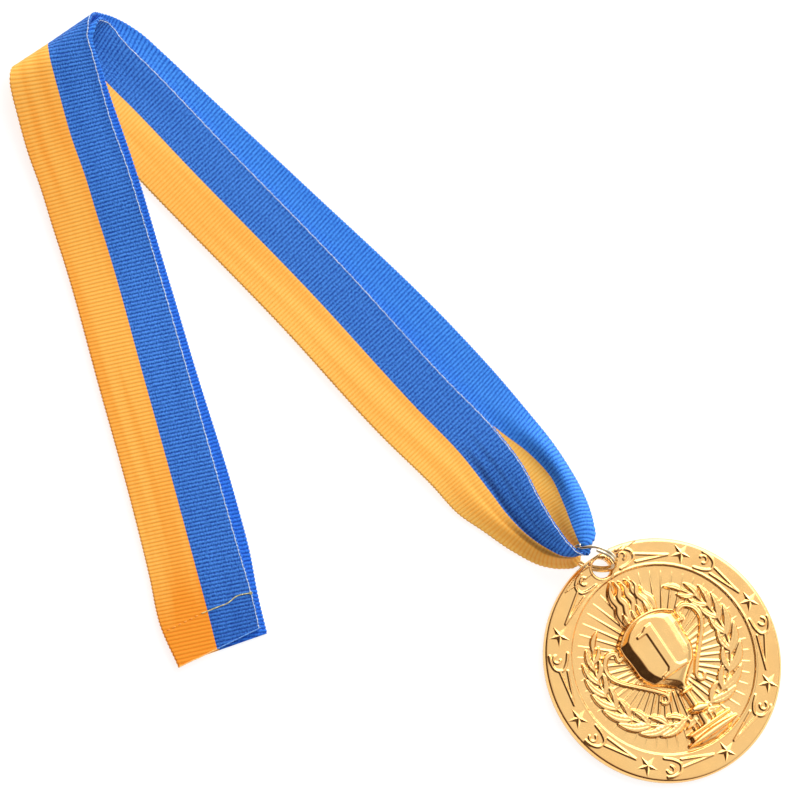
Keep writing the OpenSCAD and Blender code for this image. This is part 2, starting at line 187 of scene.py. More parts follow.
# Flat runs of the ribbon. Columns: x, y and z of the colour line, direction of the blue side,
# skew of the section, rise of the blue half, rise of the yellow half and, where the cloth is
# pulled wider or narrower, the shares of the blue and the yellow half's width.
UNDER_STRAND = [
    [17.9, -82.9, 0.55, 69, 11, 0, 0, 1.14, 0.95], [9.5, -76.2, 0.55, 67, 4, 0, 0],
    [-1.1, -69.7, 0.55, 63.5, 0, 0, 0], [-13.5, -63.2, 0.55, 63, 0, 0, 0],
    [-45, -48.4, 0.55, 64, 0, 0, 0], [-75.6, -33.8, 0.6, 64.5, 0, 1, 0],
    [-94, -25.6, 1.7, 66, 0, 7, -4], [-104, -21.4, 2.4, 68, 3, 5, -5],
    [-113, -17.8, 3.1, 72, 7, 3, -4], [-120.5, -14.7, 4.3, 77, 11, 4, -4],
]
OVER_DIAGONAL = [
    [-118.5, -4.8, 1.75, 88, 8, 5, 0], [-107.8, -3.7, 1.75, 90.5, 3, 1, 0],
    [-80.2, -2.3, 1.75, 92.5, 0, 0, 0], [-36.2, 0.2, 1.75, 92.5, 0, 0, 0],
    [4.7, 1.2, 1.75, 92, 0, 0, 0], [22, 2, 1.85, 91, 0, 2, 0, 1, 0.95],
]
UNDER_DIAGONAL = [
    [13, 12.9, 0.55, 92.5, 0, 0, 0], [-3.4, 12.5, 0.55, 94.5, 0, 0, 0],
    [-59.3, 7.2, 0.55, 95.5, 0, 0, 0], [-98, 2.9, 0.55, 96, 0, 0, 0],
    [-108, 1.6, 0.55, 95, 1, 0.5, 0, 1.02], [-117.5, -0.8, 0.55, 92, 6, 3, 0, 1.09],
]
OVER_STRAND = [
    [-124, -14.8, 6.6, 78, 12, 4, -4], [-118.2, -17.4, 5.4, 74, 9, 3, -4],
    [-108, -22.1, 4.1, 69, 4, 3, -4], [-97.8, -26.2, 3.6, 66, 1, 4, -4],
    [-88, -30.6, 2.9, 65, 0, 5, -3], [-79.5, -34.3, 2.2, 64.5, 0, 2.5, -1],
    [-48.2, -49.9, 1.8, 63, 0, 0, 0, 1.04], [-18.4, -65, 1.8, 62.5, 0, 0, 0, 1.06],
    [-2.5, -73.2, 1.8, 63.5, 0, 0, 0, 1.08, 1.03], [8, -78.6, 1.8, 67, 4, 0, 0, 1.1, 1.08],
    [17.3, -83.6, 1.8, 75.5, 9, 0, 0, 1.1, 0.92],
]
# Folds. Columns: radius, x, z, y at the top and at the foot, direction at the top and at the foot,
# and how much wider the blue half is pulled.
INNER_FOLD = [2.1, -126.2, 3.8, -12.2, -7.4, 80, 85, 0.15]
OUTER_FOLD = [3.2, -126.8, 3.8, -13.4, -5.8, 81, 86, 0.1]
# Both folds: skew, rise of the blue half at the top and what the foot and the bend add to it, fall of the
# yellow half at the top, how much wider the blue half is at the foot and narrower the yellow half in the bend
FOLD_SKEW = 13
FOLD_RISES = [5, 3, 5]
FOLD_FALL = 4
FOOT_WIDER = 0.19
BEND_NARROWER = 0.08
# Gathered sections beside the ring, five points in each row
GATHER_IN = [
    [[34.2, 12.3, 4], [33.9, 6.8, 3.2], [33.7, 1, 2.5], [33.4, -4.2, 1.9], [33, -8.9, 0.9]],
    [[42.9, 9.3, 6], [41.9, 4.8, 4.8], [41, 0.1, 3.5], [40.4, -3.5, 2.1], [40, -6.9, 0.7]],
    [[52.2, 6.8, 8.1], [50.8, 3.6, 6.7], [49.5, 0.2, 5.2], [49, -1.8, 2.6], [49.2, -4.4, 0.9]],
    [[57.6, 5.8, 9.8], [56.8, 3.8, 8.8], [56.1, 1.6, 7.5], [56.1, 0.1, 4], [57.4, -0.6, 1.3]],
    [[60.6, 5.9, 10.9], [59.7, 4.6, 10], [58.8, 3, 8.6], [59.1, 2.6, 4.6], [60.8, 2.6, 1.3]],
]
GATHER_OUT = [
    [[60.5, 12.2, 9.6], [59.2, 10.6, 9.2], [57.7, 9, 8.1], [57.6, 8.1, 4.4], [59.8, 8.6, 1.3]],
    [[57.6, 15, 7.6], [56.4, 12.4, 8.4], [55.2, 10.2, 7.2], [54.9, 8.4, 3.4], [56, 7.2, 1.1]],
    [[50.6, 19.4, 4.2], [49.4, 16, 6.2], [48.6, 13.9, 4.2], [47.8, 10.4, 1.6], [48, 5.4, 0.8]],
    [[43, 22.2, 1.6], [41.8, 18.9, 4.4], [41.2, 16.9, 1.9], [40.6, 11, 0.8], [40.4, 5.6, 0.6]],
    [[35, 23.6, 1], [33.8, 20.2, 3.3], [33.2, 17, 1], [32.8, 10.6, 0.6], [32.6, 4.6, 0.6]],
    [[24.6, 24.3, 0.7], [24, 19.8, 1.6], [23.6, 15, 0.6], [23.2, 8.6, 0.55], [23, 2.4, 0.55]],
]
# Sections in the ring: angles of their five points round it, then rows of place across it and radius
RING_FAN = [118, 137, 156, 196, 236]
RING_ROWS = [[1.05, 5.15], [-0.5, 4.75], [-2, 5.15]]
# Sewing thread on top of the two ends: its radius, start on the yellow half, run over the blue half,
# radius of the knot, then radius, half length and spacing of the dots
STITCH_R = 0.14
STITCH_FOOT = [5.2, -90.8, 2.2]
STITCH_RUN = [
    [7.8, -80.5, 2.2], [9.3, -76, 2.28], [10.2, -73.3, 2.3], [10.5, -69.9, 2.3],
    [11.3, -68.2, 2.3], [12.2, -66.8, 2.34],
]
KNOT_R = 0.28
DOT_R = 0.16
DOT_HALF = 0.4
DOT_STEP = 0.16
# Thread in the blue edge: radius, distance in from the edge and how far it sways
THREAD_R = 0.12
THREAD_IN = 0.45
THREAD_SWAY = 0.05
# Radius of the frayed yarn along the cut end
FRAY_R = 0.14


# Small helpers
def unit(v):
    return v / np.maximum(np.linalg.norm(v, axis=-1, keepdims=True), 1e-12)


def smoothstep(low, high, x):
    t = np.clip((x - low) / (high - low), 0, 1)
    return t * t * (3 - 2 * t)


def turn_of(degrees):
    a = math.radians(degrees)
    return np.array([math.cos(a), math.sin(a), 0])


def curve(points, steps):
    """A smooth line through points, which keeps its shape where they are unevenly spaced."""
    p = np.asarray(points, float)
    step = np.diff(p, axis=0)
    gap = np.maximum(np.linalg.norm(step, axis=1, keepdims=True), 0.01)
    heading = np.empty_like(p)
    heading[0] = step[0] / gap[0]
    heading[-1] = step[-1] / gap[-1]
    before, after = gap[:-1], gap[1:]
    heading[1:-1] = (step[:-1] * after / before + step[1:] * before / after) / (before + after)
    t = (np.arange(steps) / steps)[None, :, None]
    s = t * t * (3 - 2 * t)
    bulge = (1 - t) * heading[:-1, None] - t * heading[1:, None]
    line = p[:-1, None] * (1 - s) + p[1:, None] * s + gap[:, None] * t * (1 - t) * bulge
    return np.vstack([line.reshape(-1, 3), p[-1:]])


def mesh_piece(name, verts, faces):
    """A smooth shaded object on the root body. The points are in millimetres, in the layout's frame."""
    mesh = bpy.data.meshes.new(name)
    mesh.from_pydata((np.asarray(verts) - MIDDLE) * MM, [], faces)
    mesh.shade_smooth()
    piece = bpy.data.objects.new(name, mesh)
    bpy.context.scene.collection.objects.link(piece)
    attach(piece, "root")
    return piece


def tube_mesh(path, radius, sides):
    """Points and faces of a round wire or thread along a path, with flat ends."""
    path = np.asarray(path, float)
    along = unit(np.gradient(path, axis=0))
    side = np.cross(along[0], [0.1, 0.2, 1])
    angle = np.arange(sides) * 2 * math.pi / sides
    rings = []
    for point, direction in zip(path, along):
        side = unit(side - direction * np.dot(side, direction))
        other = np.cross(direction, side)
        rings.append(point + radius * (np.outer(np.cos(angle), side) + np.outer(np.sin(angle), other)))
    faces = []
    last = (len(rings) - 1) * sides
    for a in range(0, last, sides):
        b = a + sides
        for j in range(sides):
            k = (j + 1) % sides
            faces.append((a + j, a + k, b + k, b + j))
    faces.append(tuple(range(sides))[::-1])
    faces.append(tuple(last + j for j in range(sides)))
    return np.vstack(rings), faces


def tubes(name, paths, radius, sides, mat):
    """One piece of a wire or thread along each path."""
    verts, faces = [], []
    for path in paths:
        points, own = tube_mesh(path, radius, sides)
        faces += [tuple(len(verts) + i for i in face) for face in own]
        verts += points.tolist()
    piece = mesh_piece(name, verts, faces)
    piece.data.materials.append(mat)
    return piece


# Materials
def material(name, colour, roughness, metallic=0.0):
    mat = bpy.data.materials.new(name)
    mat.use_nodes = True
    shader = mat.node_tree.nodes["Principled BSDF"]
    shader.inputs["Base Color"].default_value = (*colour, 1)
    shader.inputs["Roughness"].default_value = roughness
    shader.inputs["Metallic"].default_value = metallic
    return mat


def math_node(tree, kind, a, b=None):
    node = tree.nodes.new("ShaderNodeMath")
    node.operation = kind
    for socket, value in zip(node.inputs, (a, b)):
        if value is None:
            continue
        if isinstance(value, (int, float)):
            socket.default_value = value
        else:
            tree.links.new(value, socket)
    return node.outputs[0]


def mix_colours(tree, share, dark, light):
    mix = tree.nodes.new("ShaderNodeMix")
    mix.data_type = "RGBA"
    mix.inputs["A"].default_value = (*dark, 1)
    mix.inputs["B"].default_value = (*light, 1)
    tree.links.new(share, mix.inputs["Factor"])
    return mix.outputs["Result"]


def ramp_node(tree, value, low, high, at_low, at_high):
    """A smooth step from one level to another while the value goes from low to high."""
    ramp = tree.nodes.new("ShaderNodeMapRange")
    ramp.interpolation_type = "SMOOTHSTEP"
    for name, number in (("From Min", low), ("From Max", high), ("To Min", at_low), ("To Max", at_high)):
        ramp.inputs[name].default_value = number
    tree.links.new(value, ramp.inputs["Value"])
    return ramp.outputs["Result"]


def noise_node(tree, scale, detail=2):
    """Noise over the object's own coordinates, with scale in cells per metre."""
    place = tree.nodes.new("ShaderNodeTexCoord")
    noise = tree.nodes.new("ShaderNodeTexNoise")
    noise.inputs["Scale"].default_value = scale
    noise.inputs["Detail"].default_value = detail
    tree.links.new(place.outputs["Object"], noise.inputs["Vector"])
    return noise.outputs["Fac"]


def add_bump(tree, height, strength, distance):
    """Fine relief on the material's shader, with the distance in millimetres."""
    bump = tree.nodes.new("ShaderNodeBump")
    bump.inputs["Strength"].default_value = strength
    bump.inputs["Distance"].default_value = distance * MM
    tree.links.new(height, bump.inputs["Height"])
    tree.links.new(bump.outputs["Normal"], tree.nodes["Principled BSDF"].inputs["Normal"])


def metal_material(name, dark, light, smooth, rough, grain):
    """Plated metal with slow changes of tone and polish, and a fine grain."""
    mat = material(name, light, rough, 1)
    tree = mat.node_tree
    shader = tree.nodes["Principled BSDF"]
    tone = ramp_node(tree, noise_node(tree, 60), 0.3, 0.7, 0, 1)
    polish = ramp_node(tree, noise_node(tree, 350, 4), 0.3, 0.7, smooth, rough)
    tree.links.new(mix_colours(tree, tone, dark, light), shader.inputs["Base Color"])
    tree.links.new(polish, shader.inputs["Roughness"])
    add_bump(tree, noise_node(tree, 2500), 0.5, grain)
    return mat


def yarn_material(name, dark, light):
    """Twisted thread, with painted shade between its plies from the same noise that gives its relief."""
    mat = material(name, light, 0.7)
    tree = mat.node_tree
    shader = tree.nodes["Principled BSDF"]
    shader.inputs["Sheen Weight"].default_value = 0.1
    ply_shade_and_relief = ramp_node(tree, noise_node(tree, 1800), 0.35, 0.6, 0, 1)
    tree.links.new(mix_colours(tree, ply_shade_and_relief, dark, light), shader.inputs["Base Color"])
    add_bump(tree, ply_shade_and_relief, 0.6, 0.05)
    return mat


def tinted(tree, share, base, tint):
    """The base colour, multiplied by a tint to the given share."""
    mix = tree.nodes.new("ShaderNodeMix")
    mix.data_type = "RGBA"
    mix.blend_type = "MULTIPLY"
    mix.inputs["B"].default_value = (*tint, 1)
    tree.links.new(share, mix.inputs["Factor"])
    tree.links.new(base, mix.inputs["A"])
    return mix.outputs["Result"]


def painted_crease_shade(tree, along, across):
    """Painted shade in the creases beside the ring: a darker tone where the shade falls."""
    total = 0.0
    for begins, full, fades, ends, centre, half, share in PAINTED_CREASE_SHADES:
        lengthwise = math_node(tree, "MULTIPLY", ramp_node(tree, along, begins, full, 0, share),
                               ramp_node(tree, along, fades, ends, 1, 0))
        crosswise = math_node(tree, "MULTIPLY", ramp_node(tree, across, centre - half, centre, 0, 1),
                              ramp_node(tree, across, centre, centre + half, 1, 0))
        total = math_node(tree, "ADD", total, math_node(tree, "MULTIPLY", lengthwise, crosswise))
    return total


def cloth_noise(tree, place, lengthwise, crosswise, detail):
    """Noise over the cloth, with its scales in cells per rib and per millimetre across."""
    mapping = tree.nodes.new("ShaderNodeMapping")
    mapping.inputs["Scale"].default_value = (lengthwise, crosswise, 1)
    tree.links.new(place, mapping.inputs["Vector"])
    noise = tree.nodes.new("ShaderNodeTexNoise")
    noise.inputs["Scale"].default_value = 1
    noise.inputs["Detail"].default_value = detail
    tree.links.new(mapping.outputs["Vector"], noise.inputs["Vector"])
    return noise.outputs["Fac"]


def shade_and_streak_share(tree, place, along, strand):
    """How far the colour drifts: painted shade by the strand's values and near the sewn end, and the cloth's
    own uneven tone in long streaks.
    """
    begins, complete, share = strand
    strand_shade = ramp_node(tree, along, begins, complete, 0, share)
    end_shade = ramp_node(tree, along, SEWN_END - 35, SEWN_END, 0, 0.9)
    streaks = ramp_node(tree, cloth_noise(tree, place, 0.012, 0.22, 2), 0.35, 0.7, 0, 0.4)
    return math_node(tree, "ADD", math_node(tree, "ADD", strand_shade, end_shade), streaks)


def cloth_material(name, dark, light, drift, strand, flecks, relief):
    """Ribs across the cloth, with painted shade in their valleys and painted light on their crests, and yarn
    flecks on them, from the cloth's own lengthwise and crosswise lengths.

    The colour drifts towards a tint, as painted shade along the strand and near the sewn end and as random
    streaks of its own tone. The strand's values are where along the cloth this drift begins and is complete,
    and its share."""
    mat = material(name, light, 0.75)
    tree = mat.node_tree
    shader = tree.nodes["Principled BSDF"]
    shader.inputs["Sheen Weight"].default_value = 0.08
    shader.inputs["Specular IOR Level"].default_value = 0.2
    cloth = tree.nodes.new("ShaderNodeUVMap")
    cloth.uv_map = "cloth"
    place = cloth.outputs["UV"]
    split = tree.nodes.new("ShaderNodeSeparateXYZ")
    tree.links.new(place, split.inputs[0])
    along, across = split.outputs["X"], split.outputs["Y"]
    # The rib crests take the light tone and the valleys the dark tone, as painted light and shade on the
    # ribs. The flecks are the yarn's own uneven tone.
    wave = math_node(tree, "SINE", math_node(tree, "MULTIPLY", along, math.pi))
    rib = math_node(tree, "ABSOLUTE", wave)
    fleck = math_node(tree, "SUBTRACT", cloth_noise(tree, place, 1.6, 2.6, 1), 0.5)
    uneven = math_node(tree, "MULTIPLY", fleck, flecks)
    tone = math_node(tree, "ADD", math_node(tree, "MULTIPLY", rib, 0.9), uneven)
    colour = mix_colours(tree, tone, dark, light)
    # The tint darkens the cloth as painted shade along the strand and near the sewn end, plus random streaks
    colour = tinted(tree, shade_and_streak_share(tree, place, along, strand), colour, drift)
    # Painted shade in the creases beside the ring
    colour = tinted(tree, painted_crease_shade(tree, along, across), colour, PAINTED_SHADE_TINT)
    tree.links.new(colour, shader.inputs["Base Color"])
    height = math_node(tree, "ADD", rib, math_node(tree, "MULTIPLY", uneven, 0.3))
    add_bump(tree, height, relief, 0.15)
    return mat


# Ribbon
def straight(x, y, z, turn, skew, blue_rise, yellow_rise, blue_share=1, yellow_share=1):
    """One section of the ribbon, as five points from the blue edge by the colour line to the yellow edge."""
    across = turn_of(turn)
    up = np.array([0, 0, 1])
    skew, blue_rise, yellow_rise = (math.radians(a) for a in (skew, blue_rise, yellow_rise))
    blue_w = blue_share * BLUE_W / math.cos(skew)
    yellow_w = yellow_share * YELLOW_W / math.cos(skew)
    blue = blue_w * (math.cos(blue_rise) * across + math.sin(blue_rise) * up)
    yellow = yellow_w * (math.sin(yellow_rise) * up - math.cos(yellow_rise) * across)
    line = np.array([x, y, z])
    return [line + blue, line + blue / 2, line, line + yellow / 2, line + yellow]


def bend(radius, x, z, y_top, y_foot, turn_top, turn_foot, wider):
    """Half a turn round the fold, from the top of the bend to its foot."""
    sections = []
    for a in range(0, 181, 30):
        t = a / 180
        s, c = math.sin(math.radians(a)), math.cos(math.radians(a))
        y = y_top * (1 - t) + y_foot * t
        turn = turn_top * (1 - t) + turn_foot * t
        blue_rise = FOLD_RISES[0] + FOLD_RISES[1] * t + FOLD_RISES[2] * s
        blue_share = 1 + wider * s + FOOT_WIDER * t * t
        yellow_share = 1 - BEND_NARROWER * s ** 3
        sections.append(straight(x - radius * s, y, z + radius * c, turn, FOLD_SKEW, blue_rise,
                                 -FOLD_FALL * (1 - t), blue_share, yellow_share))
    return sections


def ring_axes():
    turn, lean = math.radians(RING_TURN), math.radians(RING_LEAN)
    along = turn_of(RING_TURN)
    normal = np.array([math.sin(turn) * math.cos(lean), -math.cos(turn) * math.cos(lean), math.sin(lean)])
    return along, -np.cross(along, normal), normal


def on_ring(angle, radius, across):
    along, up, normal = ring_axes()
    a = math.radians(angle)
    return RING_AT + radius * (math.cos(a) * along + math.sin(a) * up) + across * normal


def laid(table):
    return [straight(*row) for row in table]


def ribbon_sections():
    """All sections, from the lower sewn end through both folds and the ring to the upper sewn end."""
    ring_pass = [[on_ring(a, radius, across) for a in RING_FAN] for across, radius in RING_ROWS]
    way_in = laid(UNDER_STRAND) + bend(*INNER_FOLD) + laid(OVER_DIAGONAL) + GATHER_IN
    way_out = GATHER_OUT + laid(UNDER_DIAGONAL) + bend(*OUTER_FOLD)[::-1] + laid(OVER_STRAND)
    return np.array(way_in + ring_pass + way_out)


def eased(length, values, reach):
    """Values along the ribbon, each averaged with its neighbours within reach."""
    even = np.arange(0, length[-1], 0.25)
    weight = np.exp(-(np.arange(-3 * reach, 3 * reach + 0.1, 0.25) / reach) ** 2 / 2)
    weight /= weight.sum()
    pad = len(weight) // 2
    out = np.empty_like(values)
    for j in range(values.shape[1]):
        column = np.pad(np.interp(even, length, values[:, j]), pad, mode="edge")
        out[:, j] = np.interp(length, even, np.convolve(column, weight, mode="valid"))
    return out


def dense_sections():
    """Close sections of the cloth's middle surface, with one more point beside each edge, for the hem."""
    lines = np.stack([curve(line, 40) for line in ribbon_sections().transpose(1, 0, 2)], axis=1)
    dense = np.stack([curve(section, ACROSS_STEPS) for section in lines])
    blue_hem = dense[:, :1] + unit(dense[:, 1:2] - dense[:, :1]) * HEM
    yellow_hem = dense[:, -1:] + unit(dense[:, -2:-1] - dense[:, -1:]) * HEM
    dense = np.concatenate([dense[:, :1], blue_hem, dense[:, 1:-1], yellow_hem, dense[:, -1:]], axis=1)
    dense[..., 2] = np.maximum(dense[..., 2], LOWEST_MIDDLE)
    return dense


def ribbon_grid():
    """Middle surface of the cloth in rows that follow the ribs, and how far along the cloth each point is."""
    dense = dense_sections()
    centre = dense[:, dense.shape[1] // 2]
    step = np.linalg.norm(np.diff(centre, axis=0), axis=1)
    length = np.concatenate([[0], np.cumsum(step)])
    along = unit(np.gradient(centre, axis=0))
    lead = np.einsum("rcx,rx->rc", dense - centre[:, None], along)
    place = np.maximum.accumulate(length[:, None] + eased(length, lead, 8), axis=0)
    rows = np.arange(math.floor(place.min() / RIB) * RIB, place.max() + RIB, RIB / ROWS_PER_RIB)
    grid = np.empty((len(rows), dense.shape[1], 3))
    at = np.empty((len(rows), dense.shape[1]))
    for j in range(dense.shape[1]):
        own = place[:, j] + np.arange(len(place)) * 1e-7
        at[:, j] = np.clip(rows, own[0], own[-1])
        for k in range(3):
            grid[:, j, k] = np.interp(at[:, j], own, dense[:, j, k])
    return grid, at


def surface_normals(grid):
    along = np.gradient(grid, axis=0)
    across = np.gradient(grid, axis=1)
    normal = unit(np.cross(along, across))
    flat = np.linalg.norm(along, axis=2) < 1e-6
    for j in range(grid.shape[1]):
        good = np.flatnonzero(~flat[:, j])
        normal[:good[0], j] = normal[good[0] + 1, j]
        normal[good[-1]:, j] = normal[good[-1] - 1, j]
    return normal


def press_pleats(grid, across):
    """Lengthwise valleys in the upper layer of the diagonal, where the cloth gathers towards the ring."""
    x, y = grid[:, len(across) // 2, 0], grid[:, len(across) // 2, 1]
    upper = np.where(y < 6, smoothstep(*PLEATS_IN, x) * smoothstep(*PLEATS_OUT, x), 0)
    for place, width, depth in PLEATS:
        grid[..., 2] -= depth * upper[:, None] * np.exp(-((across - place) / width) ** 2)


def columns_across():
    """Where each column of the cloth lies, in millimetres from the colour line, with the blue half first."""
    steps = np.linspace(0, 1, 2 * ACROSS_STEPS + 1)
    blue = np.sort(np.append(BLUE_W * steps, BLUE_W - HEM))
    yellow = np.sort(np.append(YELLOW_W * steps, YELLOW_W - HEM))
    return np.concatenate([blue[::-1], -yellow[1:]])


def ribbon_faces(rows, columns):
    """Faces of the cloth's two sides, edges and ends, with the number of each one's look in CLOTH_LOOKS.

    Each row of points holds the inside of the cloth from edge to edge, then the outside."""
    faces, slots = [], []
    looks = list(CLOTH_LOOKS)
    outside = [looks.index("yellow" if j >= columns // 2 else "blue_outside") for j in range(columns - 1)]
    inside = [looks.index("yellow" if j >= columns // 2 else "blue_inside_painted_lighter") for j in range(columns - 1)]
    for i in range(rows - 1):
        a, b = i * 2 * columns, (i + 1) * 2 * columns
        c, d = a + columns, b + columns
        for j in range(columns - 1):
            faces += [(a + j, b + j, b + j + 1, a + j + 1), (c + j, c + j + 1, d + j + 1, d + j)]
            slots += [inside[j], outside[j]]
        faces += [(a, c, d, b), (c - 1, d - 1, d + columns - 1, c + columns - 1)]
        slots += [outside[0], outside[-1]]
    for row, order in ((0, 1), (rows - 1, -1)):
        a = row * 2 * columns
        c = a + columns
        faces += [(a + j, a + j + 1, c + j + 1, c + j)[::order] for j in range(columns - 1)]
        slots += outside
    return faces, slots


def merge_doubles(mesh):
    work = bmesh.new()
    work.from_mesh(mesh)
    bmesh.ops.remove_doubles(work, verts=work.verts, dist=1e-6)
    work.to_mesh(mesh)
    work.free()


def make_ribbon(cloths):
    """The whole ribbon as one closed cloth. Its ribs lift both sides, and its edges wave with them."""
    grid, at = ribbon_grid()
    rows, columns, _ = grid.shape
    across = columns_across()
    press_pleats(grid, across)
    normal = surface_normals(grid)
    rib = np.abs(np.sin(math.pi * at / RIB))
    lift = (CLOTH_T / 2 - RIB_H + RIB_H * rib)[..., None]
    wavy = grid.copy()
    for edge, inner in ((0, 1), (columns - 1, columns - 2)):
        wavy[:, edge] += unit(grid[:, edge] - grid[:, inner]) * EDGE_WAVE * (rib[:, edge, None] - 0.7)
    verts = np.concatenate([wavy + normal * lift, wavy - normal * lift], axis=1).reshape(-1, 3)
    faces, slots = ribbon_faces(rows, columns)
    ribbon = mesh_piece("cloth_ribbon", verts, faces)
    mesh = ribbon.data
    for mat in cloths:
        mesh.materials.append(mat)
    mesh.polygons.foreach_set("material_index", slots)
    uv = mesh.uv_layers.new(name="cloth")
    along = np.concatenate([at, at], axis=1) / RIB
    place = np.stack([along, np.tile(across, (rows, 2))], axis=2).reshape(-1, 2)
    corner = np.empty(len(mesh.loops), int)
    mesh.loops.foreach_get("vertex_index", corner)
    uv.data.foreach_set("uv", place[corner].ravel())
    merge_doubles(mesh)
    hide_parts("ribbon")
    return ribbon, grid, normal, at


def make_thread(grid, normal, at):
    """White thread in the blue edge, on the face of the cloth that is outside. It dips under at each rib."""
    inset = unit(grid[:, 1] - grid[:, 0]) * (THREAD_IN + THREAD_SWAY * np.sin(at[:, :1] * 1.9))
    dip = 0.1 * np.cos(2 * math.pi * at[:, :1] / RIB)
    path = grid[:, 0] + inset - normal[:, 0] * (CLOTH_T / 2 - 0.05 - dip)
    path[:, 2] = np.maximum(path[:, 2], THREAD_R)
    keep = np.linalg.norm(np.diff(path, axis=0), axis=1) > 0.02
    path = path[np.append(keep, True)]
    return tubes("selvage_thread", [path], THREAD_R, 6, THREAD)


def make_stitches():
    """A loose thread sews the ends together. It runs over the blue half and makes dots on the yellow half."""
    run = curve(STITCH_RUN, 12)
    run[:, 2] += 0.08 * np.sin(np.arange(len(run)) * 0.8)
    angle = np.linspace(0, 3.5 * math.pi, 24)
    knot = run[-1] + KNOT_R * np.stack([np.cos(angle), np.sin(angle), 0.12 * angle], axis=1)
    sewn = tubes("seam_stitches", [run, knot], STITCH_R, 8, OLIVE)
    start, stop = np.array(STITCH_FOOT), np.array(STITCH_RUN[0])
    reach = unit(stop - start) * DOT_HALF
    rise, sink = np.array([0, 0, 0.05]), np.array([0, 0, 0.12])
    dots = []
    for t in np.arange(0.06, 1, DOT_STEP):
        middle = start + (stop - start) * t
        dots.append(curve([middle - reach - sink, middle + rise, middle + reach - sink], 4))
    return [sewn, tubes("seam_dots", dots, DOT_R, 6, ORANGE_THREAD)]


def make_cut_edge(grid, normal):
    """Pale frayed yarn along the cut end of the upper layer."""
    top = grid[-1] - normal[-1] * (CLOTH_T / 2) + unit(grid[-9] - grid[-1]) * 0.1
    middle = len(top) // 2
    halves = (("cut_edge_blue", top[:middle + 1], PALE_BLUE), ("cut_edge_yellow", top[middle:], PALE_YELLOW))
    edges = []
    for name, part, mat in halves:
        path = curve(part, 8)
        path[:, 2] += 0.04 * np.sin(np.arange(len(path)) * 1.3)
        edges.append(tubes(name, [path], FRAY_R, 6, mat))
    return edges


# Medal. Every height is measured from its back, with y towards the hole.
def along_line(x, y, path):
    """Distance of each place from a line of points, and the nearest point's share of the line's length."""
    path = np.asarray(path, float)
    best = np.full(x.shape, 1e9)
    share = np.zeros(x.shape)
    lengths = np.linalg.norm(np.diff(path, axis=0), axis=1)
    ends = np.concatenate([[0], np.cumsum(lengths)])
    for (ax, ay), (bx, by), long, start in zip(path[:-1], path[1:], lengths, ends):
        t = np.clip(((x - ax) * (bx - ax) + (y - ay) * (by - ay)) / max(long * long, 1e-9), 0, 1)
        d = np.hypot(x - ax - t * (bx - ax), y - ay - t * (by - ay))
        nearer = d < best
        best = np.where(nearer, d, best)
        share = np.where(nearer, (start + t * long) / ends[-1], share)
    return best, share


def near_path(x, y, path, margin):
    path = np.asarray(path)
    return ((x > path[:, 0].min() - margin) & (x < path[:, 0].max() + margin)
            & (y > path[:, 1].min() - margin) & (y < path[:, 1].max() + margin))


def smooth_path(points, steps=5):
    return curve([[*p, 0] for p in points], steps)[:, :2]


def mirrored(path):
    return [[-p[0], *p[1:]] for p in path]


def raise_line(z, x, y, path, base, height, widths, groove=0.0):
    """A rounded ridge along a path, with its half widths along it and a groove down its middle, if any."""
    near = near_path(x, y, path, max(widths))
    d, t = along_line(x[near], y[near], path)
    w = np.interp(t, np.linspace(0, 1, len(widths)), widths)
    round_top = np.sqrt(np.clip(1 - (d / w) ** 2, 0, 1))
    lift = base + height * (round_top - groove * np.exp(-(d / (0.25 * w)) ** 2))
    z[near] = np.maximum(z[near], np.where(d < w, lift, 0))


def polar(r, a):
    return [r * math.cos(math.radians(a)), r * math.sin(math.radians(a))]


def inside_by(x, y, outline):
    """How far each place is inside an outline, with outside places below zero."""
    closed = np.asarray(outline + outline[:1], float)
    d, _ = along_line(x, y, closed)
    inside = np.zeros(x.shape, bool)
    for (ax, ay), (bx, by) in zip(closed[:-1], closed[1:]):
        if ay == by:
            continue
        crosses = (ay > y) != (by > y)
        inside ^= crosses & (x < (bx - ax) * (y - ay) / (by - ay) + ax)
    return np.where(inside, d, -d)


def raise_plate(z, x, y, outline, base, height, soft):
    """A flat plate whose edge slopes over the soft distance."""
    near = near_path(x, y, outline, 0.5)
    depth = inside_by(x[near], y[near], outline)
    z[near] = np.maximum(z[near], np.where(depth > 0, base + height * smoothstep(0, soft, depth), 0))


def raise_rays(z, x, y):
    """Rays that taper outwards, from beside the cup to the border."""
    r, a = np.hypot(x, y), np.degrees(np.arctan2(y, x))
    pitch = 360 / RAYS
    off = np.abs((a % pitch) - pitch / 2)
    side = r * np.sin(np.radians(off))
    half = np.interp(r, [9, 24], [0.5, 0.14])
    ends = smoothstep(24.2, 23.2, r) * smoothstep(8, 9, r)
    z[:] = np.maximum(z, FIELD_Z + RAY_H * smoothstep(half, half - 0.25, side) * ends)


def raise_leaf(z, x, y, foot, tip, half, height, bow):
    """One veined leaf that bends sideways by bow."""
    foot, tip = np.asarray(foot), np.asarray(tip)
    across = np.array([-(tip - foot)[1], (tip - foot)[0]])
    middle = (foot + tip) / 2 + across * bow
    path = smooth_path([foot, middle, tip], 4)
    near = near_path(x, y, path, half)
    d, t = along_line(x[near], y[near], path)
    w = half * np.interp(t, [0, 0.15, 0.4, 0.7, 0.9, 1], [0.35, 0.8, 1, 0.8, 0.42, 0.05])
    veins = 0.05 * np.abs(np.sin(math.pi * (t * np.linalg.norm(tip - foot) / 1.1 - d * 0.6)))
    midrib = 0.2 * smoothstep(0.25, 0.05, d)
    dome = 0.7 + 0.4 * t - 0.2 * (d / w) ** 2 - veins * smoothstep(0.1, 0.4, d) - midrib
    edge = smoothstep(w, w - 0.32, d)
    z[near] = np.maximum(z[near], np.where(d < w, FIELD_Z + height * dome * edge, 0))


